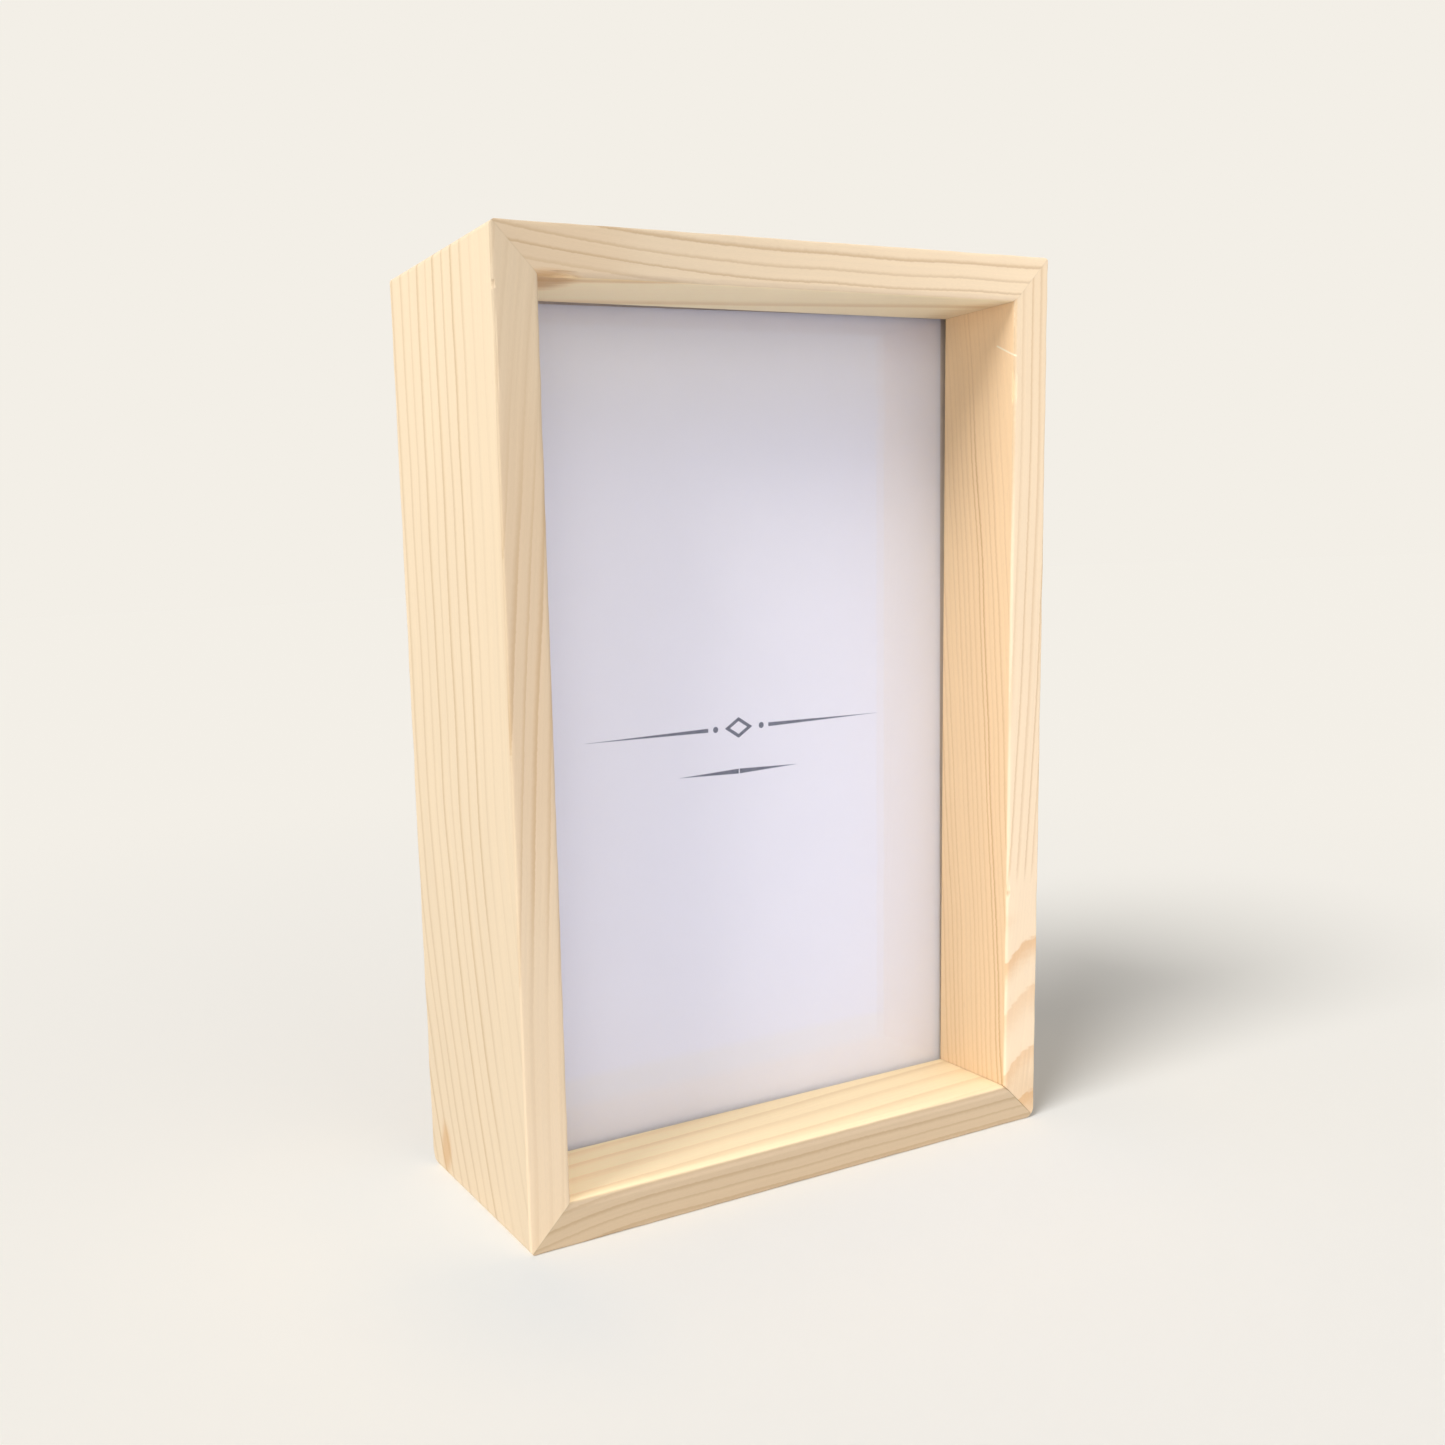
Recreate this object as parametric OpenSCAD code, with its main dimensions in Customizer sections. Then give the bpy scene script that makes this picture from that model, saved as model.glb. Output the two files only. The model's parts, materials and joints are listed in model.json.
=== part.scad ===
// Deep pine box frame for a small print: four mitred and pinned boards, a glass
// pane set back in a rabbet, a print, and a fibreboard back held by turn clips.
// Millimetres. +Z is up, the front faces -Y, and the origin is the middle of the base.

/* [Print] */
// Width of the print, and of the glass and the back behind it
print_w = 100; // [90:1:150]
// Height of the print, and of the glass and the back behind it
print_h = 150; // [140:1:220]
// Thickness of the print
print_t = 0.3; // [0.2:0.05:0.6]

/* [Boards] */
// Depth of the boards, from the front face to the rear face
frame_d = 40; // [38:1:60]
// Thickness of the rear wall, outside the rabbet
wall_t = 4.5; // [4:0.1:8]
// Width of the lip in front of the glass
lip_w = 3.2; // [2:0.1:6]
// Depth of the lip, from the front face to the glass
lip_d = 16; // [8:0.5:20]
// Gap between the rabbet and what lies in it, at each side
fit_gap = 0.5; // [0.2:0.1:1]
// Radius sanded on the long edges of the boards
edge_r = 0.6; // [0.2:0.1:1]
// Radius sanded on the four outer corners of the frame
corner_r = 1.2; // [0.4:0.1:2]

/* [Clip groove] */
// Width of the groove sawn round the rabbet for the turn clips
groove_w = 1.6; // [1.4:0.1:2.4]
// Depth of that groove into the rear wall
groove_d = 2; // [1:0.1:2.5]

/* [Corner brads] */
// Radius of a brad's shank
brad_r = 0.7; // [0.5:0.05:0.9]
// Length of a brad under its head
brad_len = 18; // [12:1:25]
// Radius of a brad's head
brad_head_r = 1.1; // [1:0.05:1.5]
// Thickness of a brad's head
brad_head_t = 0.7; // [0.4:0.1:1.2]
// Depth that the head is punched below the wood
brad_sink = 0.4; // [0.2:0.1:1]
// Distance from the rear face to the rear brads
brad_rear_inset = 9; // [6:0.5:14]

/* [Glass and back] */
// Thickness of the glass
glass_t = 2; // [1.5:0.1:3]
// Gap between the lip and the glass, which stands loose in the rabbet
glass_gap = 0.6; // [0:0.1:0.9]
// Thickness of the fibreboard back
back_t = 3; // [2.5:0.1:4]

/* [Rivets] */
// Radius of a rivet's shank
rivet_r = 1.5; // [1:0.1:1.8]
// Radius of a rivet's domed head
rivet_head_r = 2.75; // [2.4:0.05:3.2]
// Height of a rivet's domed head
rivet_head_h = 0.9; // [0.6:0.1:1.4]
// Radius of the collar that is pressed flush into the front of the back
rivet_collar_r = 2.5; // [2.1:0.1:3.2]
// Thickness of that collar
rivet_collar_t = 0.6; // [0.3:0.1:1]

/* [Turn clips] */
// Thickness of a clip's sheet steel
clip_t = 0.8; // [0.5:0.1:1]
// Distance from the side edge of the back to a clip's rivet
clip_inset = 9; // [9:0.5:14]
// Height between the upper and the lower clips
clip_spacing = 80; // [66:1:110]
// Radius of a clip round its rivet
clip_hub_r = 4.5; // [3.8:0.1:5.5]
// Radius of the tip that enters the groove
clip_tip_r = 3; // [2:0.1:3.5]
// Length of the tail, from the rivet to the finger tab
clip_tail = 8; // [6:0.5:8]
// Width of the tail and the finger tab
clip_tail_w = 6; // [4:0.5:7]
// Height of the finger tab above the clip
clip_tab_h = 3; // [2:0.5:5]
// Gap under and over a clip, so that it turns
clip_play = 0.1; // [0.05:0.05:0.2]
// Gap between a clip's tip and the bottom of the groove
clip_tip_gap = 0.4; // [0.2:0.1:0.6]

/* [Hangers] */
// Radius of a ring's wire
wire_r = 1; // [0.7:0.1:1.2]
// Straight length of a ring's bar
ring_bar = 11; // [10.5:0.5:15]
// Straight length of a ring's legs, between the bar's bends and the bow
ring_leg = 7; // [4:0.5:8]
// Bend radius at the ends of a ring's bar, on the wire's middle
ring_bend_r = 2; // [1.5:0.1:3]
// Width of a strap
strap_w = 9; // [7:0.5:9]
// Thickness of a strap
strap_t = 1; // [0.6:0.1:1.2]
// Wall of the strap where it is rolled round the ring
strap_roll_t = 0.8; // [0.5:0.1:1]
// Distance from a ring's axis to its strap's rivet
strap_reach = 5.5; // [5:0.1:6]
// Distance from the edge of the back to a ring's axis
hanger_inset = 20; // [19:0.5:30]

/* [Fits] */
// Radial play of a clip or a ring on what it turns about
turn_play = 0.08; // [0.02:0.01:0.1]

/* [Hidden] */
$fn = 64;
cut_past = 1;

// Outside sizes, worked out from the print
board_t = wall_t + lip_w;
frame_w = print_w + 2 * (fit_gap + wall_t);
frame_h = print_h + 2 * (fit_gap + wall_t);

// Planes of the stack, from the front face back
front_y = -frame_d / 2;
glass_y = front_y + lip_d + glass_gap;
print_y = glass_y + glass_t;
back_y = print_y + print_t;
rear_y = back_y + back_t;
stack_z = wall_t;
stack_mid_z = stack_z + print_h / 2;

// The groove is centred on the clips' thickness
groove_front = rear_y + clip_play + (clip_t - groove_w) / 2 - front_y;
groove_rear = groove_front + groove_w;

// How far a clip's tip lies from its rivet
clip_reach = clip_inset + fit_gap + groove_d - clip_tip_gap;

// Outside radius of a strap's roll, which is also the height of the ring's axis
roll_r = wire_r + turn_play + strap_roll_t;

SIDES = [-1, 1];

PINE = [0.93, 0.82, 0.63];
STEEL = [0.74, 0.75, 0.77];
BRASS = [0.78, 0.63, 0.32];

// Cross-section of a board: x runs from the front face back, y from the outside in.
// An eased edge is a corner and the way from it into the wood.
board_outline = [
    [0, 0], [frame_d, 0], [frame_d, wall_t],
    [groove_rear, wall_t], [groove_rear, wall_t - groove_d],
    [groove_front, wall_t - groove_d], [groove_front, wall_t],
    [lip_d, wall_t], [lip_d, board_t], [0, board_t]
];
eased_edges = [
    [[0, 0], [1, 1]],
    [[0, board_t], [1, -1]],
    [[frame_d, 0], [-1, 1]],
    [[frame_d, wall_t], [-1, -1]]
];

// A flat outline whose listed corners are rounded to radius r
module rounded(outline, corners, r) {
    difference() {
        polygon(outline);
        for (c = corners) translate(c[0]) square(2 * r, center = true);
    }
    for (c = corners) translate(c[0] + r * c[1]) circle(r);
}

module board_section() {
    rounded(board_outline, eased_edges, edge_r);
}

// One mitred board lying on its outer face, centred on X, with its inner side up
module mitred_board(length) {
    half = length / 2;
    inner = half - board_t;
    trapezium = [[-half, 0], [half, 0], [inner, board_t], [-inner, board_t]];
    tips = [[[-half, 0], [1, 1]], [[half, 0], [-1, 1]]];
    intersection() {
        translate([-half, front_y, 0]) rotate([90, 0, 90]) linear_extrude(length) board_section();
        translate([0, -front_y, 0]) rotate([90, 0, 0]) linear_extrude(frame_d)
            intersection() {
                polygon(trapezium);
                rounded([[-half, 0], [half, 0], [half, 2 * board_t], [-half, 2 * board_t]], tips, corner_r);
            }
    }
}

// A brad under a wooden face at z = 0, driven down
module brad() {
    translate([0, 0, -brad_sink - brad_head_t]) cylinder(r = brad_head_r, h = brad_head_t);
    translate([0, 0, -brad_sink - brad_len]) cylinder(r = brad_r, h = brad_len);
}

module brad_hole() {
    brad();
    translate([0, 0, -brad_sink]) cylinder(r = brad_head_r, h = brad_sink + cut_past);
}

// Two brads at each corner: through the lip in front, and through the rear wall
module at_brads() {
    front_brad = [frame_w / 2 - board_t / 2, front_y + lip_d / 2];
    rear_brad = [frame_w / 2 - wall_t / 2, -front_y - brad_rear_inset];
    for (s = SIDES, p = [front_brad, rear_brad]) {
        translate([s * p[0], p[1], frame_h]) children();
        translate([s * p[0], p[1], 0]) mirror([0, 0, 1]) children();
    }
}

module drilled_board(length, place, turn) {
    color(PINE) difference() {
        translate(place) rotate([0, turn, 0]) mitred_board(length);
        at_brads() brad_hole();
    }
}

module top_rail() drilled_board(frame_w, [0, 0, frame_h], 180);
module bottom_rail() drilled_board(frame_w, [0, 0, 0], 0);
module left_stile() drilled_board(frame_h, [-frame_w / 2, 0, frame_h / 2], 90);
module right_stile() drilled_board(frame_h, [frame_w / 2, 0, frame_h / 2], -90);

module corner_brads() color(STEEL) at_brads() brad();

// One sheet of the stack, standing on the rabbet's floor
module sheet(y, thickness) {
    translate([-print_w / 2, y, stack_z]) cube([print_w, thickness, print_h]);
}

module glass_pane() color([0.85, 0.92, 0.93, 0.35]) sheet(glass_y, glass_t);
module print_sheet() color("white") sheet(print_y, print_t);

// Puts children on the rear face of the back, with their z to the rear and their y down
module on_back(x, z) {
    translate([x, rear_y, z]) rotate([-90, 0, 0]) children();
}

module at_clip(side, level) {
    on_back(side * (print_w / 2 - clip_inset), stack_mid_z + level * clip_spacing / 2)
        rotate(side > 0 ? 0 : 180) children();
}

module at_portrait_hanger() on_back(0, stack_z + print_h - hanger_inset) children();
module at_landscape_hanger() on_back(hanger_inset - print_w / 2, stack_mid_z) rotate(-90) children();

// Where the rivets go: one to each clip, and one to each strap
module at_clip_rivets() for (s = SIDES, level = SIDES) at_clip(s, level) children();
module at_hanger_rivets() {
    at_portrait_hanger() translate([0, strap_reach, 0]) children();
    at_landscape_hanger() translate([0, strap_reach, 0]) children();
}

// A rivet through the back, with its head on a sheet whose top is at z = grip
module rivet(grip) {
    dome_r = (pow(rivet_head_r, 2) + pow(rivet_head_h, 2)) / (2 * rivet_head_h);
    rivet_seat();
    cylinder(r = rivet_r, h = grip);
    translate([0, 0, grip]) intersection() {
        cylinder(r = rivet_head_r, h = rivet_head_h);
        translate([0, 0, rivet_head_h - dome_r]) sphere(dome_r);
    }
}

// The part of a rivet that lies in the back
module rivet_seat() {
    translate([0, 0, -back_t]) cylinder(r = rivet_r, h = back_t);
    translate([0, 0, -back_t]) cylinder(r = rivet_collar_r, h = rivet_collar_t);
}

module backing_board() {
    color([0.62, 0.47, 0.32]) difference() {
        sheet(back_y, back_t);
        at_clip_rivets() rivet_seat();
        at_hanger_rivets() rivet_seat();
    }
}

module clip_rivets() color(STEEL) at_clip_rivets() rivet(clip_t + 2 * clip_play);
module hanger_rivets() color(BRASS) at_hanger_rivets() rivet(strap_t);

// Flat outline of a clip round its rivet: a hub that narrows to the tip, and a tail
module clip_outline() {
    tip_x = clip_reach - clip_tip_r;
    lean = asin((clip_hub_r - clip_tip_r) / tip_x);
    side = [sin(lean), cos(lean)];
    flip = [side[0], -side[1]];
    circle(clip_hub_r);
    translate([tip_x, 0]) circle(clip_tip_r);
    polygon([
        clip_hub_r * side, [tip_x, 0] + clip_tip_r * side,
        [tip_x, 0] + clip_tip_r * flip, clip_hub_r * flip
    ]);
    translate([-clip_tail, -clip_tail_w / 2]) square([clip_tail, clip_tail_w]);
}

module turn_clip(side, level) {
    color(STEEL) at_clip(side, level) translate([0, 0, clip_play]) difference() {
        union() {
            linear_extrude(clip_t) clip_outline();
            translate([-clip_tail, -clip_tail_w / 2, 0]) cube([clip_t, clip_tail_w, clip_t + clip_tab_h]);
        }
        translate([0, 0, -clip_t]) cylinder(r = rivet_r + turn_play, h = 3 * clip_t);
    }
}

module upper_left_turn_clip() turn_clip(-1, 1);
module upper_right_turn_clip() turn_clip(1, 1);
module lower_left_turn_clip() turn_clip(-1, -1);
module lower_right_turn_clip() turn_clip(1, -1);

// A strap rolled round the ring's bar at y = 0 and riveted at y = strap_reach
module hanger_strap() {
    end_r = strap_w / 2;
    color(BRASS) difference() {
        union() {
            translate([-end_r, 0, roll_r]) rotate([0, 90, 0]) cylinder(r = roll_r, h = strap_w);
            linear_extrude(strap_t) {
                translate([-end_r, 0]) square([strap_w, strap_reach]);
                translate([0, strap_reach]) circle(end_r);
            }
        }
        translate([-strap_w, 0, roll_r]) rotate([0, 90, 0]) cylinder(r = wire_r + turn_play, h = 2 * strap_w);
        translate([0, strap_reach, -strap_t]) cylinder(r = rivet_r, h = 3 * strap_t);
    }
}

// A wire bow whose straight bar lies on the ring's axis
module hanger_ring() {
    half_bar = ring_bar / 2;
    half_w = half_bar + ring_bend_r;
    color(BRASS) translate([0, 0, roll_r]) {
        translate([-half_bar, 0, 0]) rotate([0, 90, 0]) cylinder(r = wire_r, h = ring_bar);
        for (s = SIDES) {
            translate([s * half_bar, ring_bend_r, 0]) rotate(s > 0 ? -90 : 180)
                rotate_extrude(angle = 90) translate([ring_bend_r, 0]) circle(wire_r);
            translate([s * half_w, ring_bend_r, 0]) rotate([-90, 0, 0]) cylinder(r = wire_r, h = ring_leg);
        }
        translate([0, ring_bend_r + ring_leg, 0])
            rotate_extrude(angle = 180) translate([half_w, 0]) circle(wire_r);
    }
}

module portrait_hanger_strap() at_portrait_hanger() hanger_strap();
module portrait_hanger_ring() at_portrait_hanger() hanger_ring();
module landscape_hanger_strap() at_landscape_hanger() hanger_strap();
module landscape_hanger_ring() at_landscape_hanger() hanger_ring();

top_rail();
bottom_rail();
left_stile();
right_stile();
corner_brads();
glass_pane();
print_sheet();
backing_board();
clip_rivets();
upper_left_turn_clip();
upper_right_turn_clip();
lower_left_turn_clip();
lower_right_turn_clip();
portrait_hanger_strap();
portrait_hanger_ring();
landscape_hanger_strap();
landscape_hanger_ring();
hanger_rivets();
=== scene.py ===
import json
import math

import bmesh
import bpy
from mathutils import Matrix, Vector

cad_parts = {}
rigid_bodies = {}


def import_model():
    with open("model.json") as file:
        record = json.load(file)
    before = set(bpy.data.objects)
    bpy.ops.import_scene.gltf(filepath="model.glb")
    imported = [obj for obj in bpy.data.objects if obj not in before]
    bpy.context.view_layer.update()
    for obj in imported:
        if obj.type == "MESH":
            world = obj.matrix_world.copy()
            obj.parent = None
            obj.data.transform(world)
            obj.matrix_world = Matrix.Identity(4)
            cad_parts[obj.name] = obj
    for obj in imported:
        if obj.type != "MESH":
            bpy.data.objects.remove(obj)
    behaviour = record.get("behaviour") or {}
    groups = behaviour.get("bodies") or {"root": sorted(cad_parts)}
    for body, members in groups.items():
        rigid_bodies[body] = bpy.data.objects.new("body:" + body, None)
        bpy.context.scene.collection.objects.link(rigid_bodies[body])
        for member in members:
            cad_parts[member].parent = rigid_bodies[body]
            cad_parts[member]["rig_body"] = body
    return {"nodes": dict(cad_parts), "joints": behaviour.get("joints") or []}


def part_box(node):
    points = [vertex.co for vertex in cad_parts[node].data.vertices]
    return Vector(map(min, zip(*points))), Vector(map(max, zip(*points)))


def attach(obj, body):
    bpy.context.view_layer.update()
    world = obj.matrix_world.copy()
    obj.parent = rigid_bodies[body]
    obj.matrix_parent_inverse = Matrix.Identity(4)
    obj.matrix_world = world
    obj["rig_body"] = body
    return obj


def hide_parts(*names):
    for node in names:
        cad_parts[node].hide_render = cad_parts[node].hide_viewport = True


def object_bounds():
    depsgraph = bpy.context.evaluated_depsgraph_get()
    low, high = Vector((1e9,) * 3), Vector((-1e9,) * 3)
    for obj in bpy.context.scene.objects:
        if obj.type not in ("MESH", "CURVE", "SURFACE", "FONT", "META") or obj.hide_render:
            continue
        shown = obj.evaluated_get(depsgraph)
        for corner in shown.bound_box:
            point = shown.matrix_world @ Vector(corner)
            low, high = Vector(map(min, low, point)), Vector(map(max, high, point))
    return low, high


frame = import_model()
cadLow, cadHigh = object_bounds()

mm = 0.001
nodes = frame["nodes"]

# sizes of the frame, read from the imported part
frameW = cadHigh.x - cadLow.x
frameD = cadHigh.y - cadLow.y
frameH = cadHigh.z - cadLow.z
frontY = cadLow.y
rearY = cadHigh.y
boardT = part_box("bottom_rail")[1].z
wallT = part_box("glass_pane")[0].z
lipY = max(v.co.y for v in nodes["bottom_rail"].data.vertices if v.co.z > wallT + 1 * mm)
grooveY = frame["joints"][0]["pos_m"][1]
print("frame", round(frameW / mm), "x", round(frameD / mm), "x", round(frameH / mm), "mm")


# camera, at the viewing angle of the photograph

photoCamera = {
    "place": (-0.14263, -0.19728, 0.10956),   # metres
    "lens": 32.638,
    "sensor": 36,
    "clip": (0.01, 50),
    "yaw": 23.603,              # degrees, to the right of straight at the front
    "pitch": -8.098,
    "roll": -2.667,
    "middlePixel": (450, 760),  # where the lens points, in the 1445 wide picture
    "picture": 1445,
}


def makeCamera(settings):
    data = bpy.data.cameras.new("photoCamera")
    data.lens = settings["lens"]
    data.sensor_width = settings["sensor"]
    data.clip_start, data.clip_end = settings["clip"]
    data.shift_x = 0.5 - settings["middlePixel"][0] / settings["picture"]
    data.shift_y = settings["middlePixel"][1] / settings["picture"] - 0.5
    camera = bpy.data.objects.new("photoCamera", data)
    turn = (
        Matrix.Rotation(math.radians(-settings["yaw"]), 4, "Z")
        @ Matrix.Rotation(math.radians(90 + settings["pitch"]), 4, "X")
        @ Matrix.Rotation(math.radians(settings["roll"]), 4, "Z")
    )
    camera.matrix_world = Matrix.Translation(settings["place"]) @ turn
    bpy.context.scene.collection.objects.link(camera)
    bpy.context.scene.camera = camera


makeCamera(photoCamera)
print("camera placed")


# small steps that every piece uses

def work(piece):
    bpy.ops.object.select_all(action="DESELECT")
    piece.select_set(True)
    bpy.context.view_layer.objects.active = piece


def edit(piece):
    work(piece)
    bpy.ops.object.mode_set(mode="EDIT")


def leave():
    bpy.ops.object.mode_set(mode="OBJECT")


def pick(piece, kind, test):
    bpy.ops.mesh.select_mode(type=kind)
    bpy.ops.mesh.select_all(action="DESELECT")
    shape = bmesh.from_edit_mesh(piece.data)
    for part in (shape.faces if kind == "FACE" else shape.edges):
        part.select_set(test(part))
    shape.select_flush_mode()
    bmesh.update_edit_mesh(piece.data)


def saw(point, normal, takeOff=False):  # a cut, and with takeOff all in front of it goes
    bpy.ops.mesh.select_all(action="SELECT")
    bpy.ops.mesh.bisect(
        plane_co=point, plane_no=normal, use_fill=takeOff, clear_outer=takeOff, threshold=1e-7
    )


def applyModifier(piece, modifier):
    work(piece)
    bpy.ops.object.modifier_apply(modifier=modifier.name)


def rideFor(piece, node, material):  # stands for a CAD node and moves with its body
    piece.data.materials.clear()
    piece.data.materials.append(material)
    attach(piece, nodes[node]["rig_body"])
    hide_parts(node)


def dress(node, material):
    piece = nodes[node]
    piece.data.materials.clear()
    piece.data.materials.append(material)


# node sockets that can be added and multiplied like numbers

class Field:
    def __init__(self, tree, socket):
        self.tree = tree
        self.socket = socket

    def do(self, operation, *others, clamp=False):
        node = self.tree.nodes.new("ShaderNodeMath")
        node.operation = operation
        node.use_clamp = clamp
        for socket, value in zip(node.inputs, (self, *others)):
            plug(self.tree, value, socket)
        return Field(self.tree, node.outputs[0])

    def __add__(self, other):
        return self.do("ADD", other)

    def __radd__(self, other):
        return self.do("ADD", other)

    def __sub__(self, other):
        return self.do("SUBTRACT", other)

    def __rsub__(self, other):
        return self.do("MULTIPLY", -1).do("ADD", other)

    def __mul__(self, other):
        return self.do("MULTIPLY", other)

    def __rmul__(self, other):
        return self.do("MULTIPLY", other)

    def __truediv__(self, other):
        return self.do("DIVIDE", other)

    def root(self):
        return self.do("SQRT")

    def size(self):
        return self.do("ABSOLUTE")

    def atLeast(self, other):
        return self.do("MAXIMUM", other)

    def fade(self, start, end):  # 0 up to start, 1 from end, smooth between
        node = self.tree.nodes.new("ShaderNodeMapRange")
        node.interpolation_type = "SMOOTHSTEP"
        plug(self.tree, self, node.inputs["Value"])
        node.inputs["From Min"].default_value = min(start, end)
        node.inputs["From Max"].default_value = max(start, end)
        node.inputs["To Min"].default_value = 0.0 if start < end else 1.0
        node.inputs["To Max"].default_value = 1.0 if start < end else 0.0
        return Field(self.tree, node.outputs["Result"])


def plug(tree, value, socket):
    if isinstance(value, Field):
        value = value.socket
    if isinstance(value, bpy.types.NodeSocket):
        tree.links.new(value, socket)
    else:
        socket.default_value = value


def srgb(red, green, blue):  # a colour as a picture editor gives it
    def linear(value):
        value = value / 255
        return value / 12.92 if value <= 0.04045 else ((value + 0.055) / 1.055) ** 2.4
    return (linear(red), linear(green), linear(blue), 1.0)


def newMaterial(name):
    material = bpy.data.materials.new(name)
    material.use_nodes = True
    tree = material.node_tree
    return material, tree, tree.nodes["Principled BSDF"]


def objectPoint(tree):  # the three coordinates in millimetres
    place = tree.nodes.new("ShaderNodeTexCoord")
    split = tree.nodes.new("ShaderNodeSeparateXYZ")
    tree.links.new(place.outputs["Object"], split.inputs[0])
    return [Field(tree, split.outputs[axis]) * 1000 for axis in "XYZ"]


def vector(tree, x, y, z):
    node = tree.nodes.new("ShaderNodeCombineXYZ")
    for socket, value in zip(node.inputs, (x, y, z)):
        plug(tree, value, socket)
    return node.outputs[0]


def noise(tree, x, y, z, detail, roughness):  # about -0.5 to 0.5
    node = tree.nodes.new("ShaderNodeTexNoise")
    tree.links.new(vector(tree, x, y, z), node.inputs["Vector"])
    node.inputs["Scale"].default_value = 1.0
    node.inputs["Detail"].default_value = detail
    node.inputs["Roughness"].default_value = roughness
    return Field(tree, node.outputs[0]) - 0.5


def finishNoise(tree, settings, point, shift=0.0):  # with a finish's own scales and detail
    scales, detail, roughness = settings
    x, y, z = (value * scale for value, scale in zip(point, scales))
    if shift:
        z = z + shift
    return noise(tree, x, y, z, detail, roughness)


def randomOf(tree, number):  # one value from 0 to 1 for each whole number
    node = tree.nodes.new("ShaderNodeTexWhiteNoise")
    node.noise_dimensions = "1D"
    plug(tree, number, node.inputs["W"])
    return Field(tree, node.outputs["Value"])


def blendColour(tree, amount, first, second, how="MIX"):
    node = tree.nodes.new("ShaderNodeMix")
    node.data_type = "RGBA"
    node.blend_type = how
    node.clamp_factor = True
    plug(tree, amount, node.inputs["Factor"])
    plug(tree, first, node.inputs[6])   # sockets 6 and 7 are the two colours
    plug(tree, second, node.inputs[7])
    return node.outputs[2]


def grey(tree, value):
    node = tree.nodes.new("ShaderNodeCombineColor")
    for socket in node.inputs:
        plug(tree, value, socket)
    return node.outputs[0]


def bump(tree, shader, height, strength, distance):
    node = tree.nodes.new("ShaderNodeBump")
    node.inputs["Strength"].default_value = strength
    node.inputs["Distance"].default_value = distance
    plug(tree, height, node.inputs["Height"])
    tree.links.new(node.outputs["Normal"], shader.inputs["Normal"])


# pine: each face of a board shows its own set of growth ring lines

pineLook = {
    "roughness": 0.52,
    "specular": 0.3,
    "knot": srgb(196, 150, 94),
    "knotFade": (1.0, 0.4),       # from its rim inward, in parts of its size
    "knotRagged": 0.6,
    "splinter": srgb(255, 244, 220),
    "splinterHalf": 0.14,
    "splinterFade": (1.4, 0.5),   # in parts of its half width
    "splinterShow": 0.8,
    "faceFade": (0.6, 0.3),       # from an edge, where one face's grain gives way to the next
    "jointShade": 0.05,
    "jointReach": 0.25,
    "ringJitter": 0.5,            # how unevenly the rings are spaced
    "ringFull": 0.88,             # where in a ring its dark wood is full
    "ringEnd": (1.0, 0.9),
    "ringSeed": 17,
    "uneven": 0.55,               # where a face gives no other
    "feather": 0.24,
    "quietLoss": 0.75,
    "calmLoss": 0.7,
    "clusterGain": 2.3,
    "clusterCore": 0.4,
    "bandSwing": 3,
    "bandFeather": 1.6,
    "bandSoft": 0.75,
    "bandBlend": (5, 3),          # over which the rings end and the bands begin
    "shade": {"streak": 0.1, "fibre": 0.12, "tint": 0.05, "fleck": 0.08},
    "fleckFade": (0.14, 0.4),
    "gloss": {"streak": 0.12, "dark": 0.08},
    "relief": {"streak": 0.5, "fleck": 0.25, "dark": 0.1},
    "bump": (0.25, 0.1 * mm),     # strength and height
}

# each noise: how fast it changes in three directions, its detail and its roughness
pineNoise = {
    "jitter": ((0.7, 1.0, 1.0), 0.0, 0.5),
    "swing": ((0.035, 0.09, 1.0), 1.0, 0.5),
    "feather": ((1.3, 0.7, 1.0), 1.0, 0.5),
    "streak": ((0.03, 1.9, 0.2), 3.0, 0.6),
    "fleck": ((0.35, 5.0, 5.0), 1.0, 0.5),
    "tint": ((0.02, 0.12, 0.16), 1.0, 0.5),
    "fibre": ((0.9, 11.0, 11.0), 2.0, 0.65),
}

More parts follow.
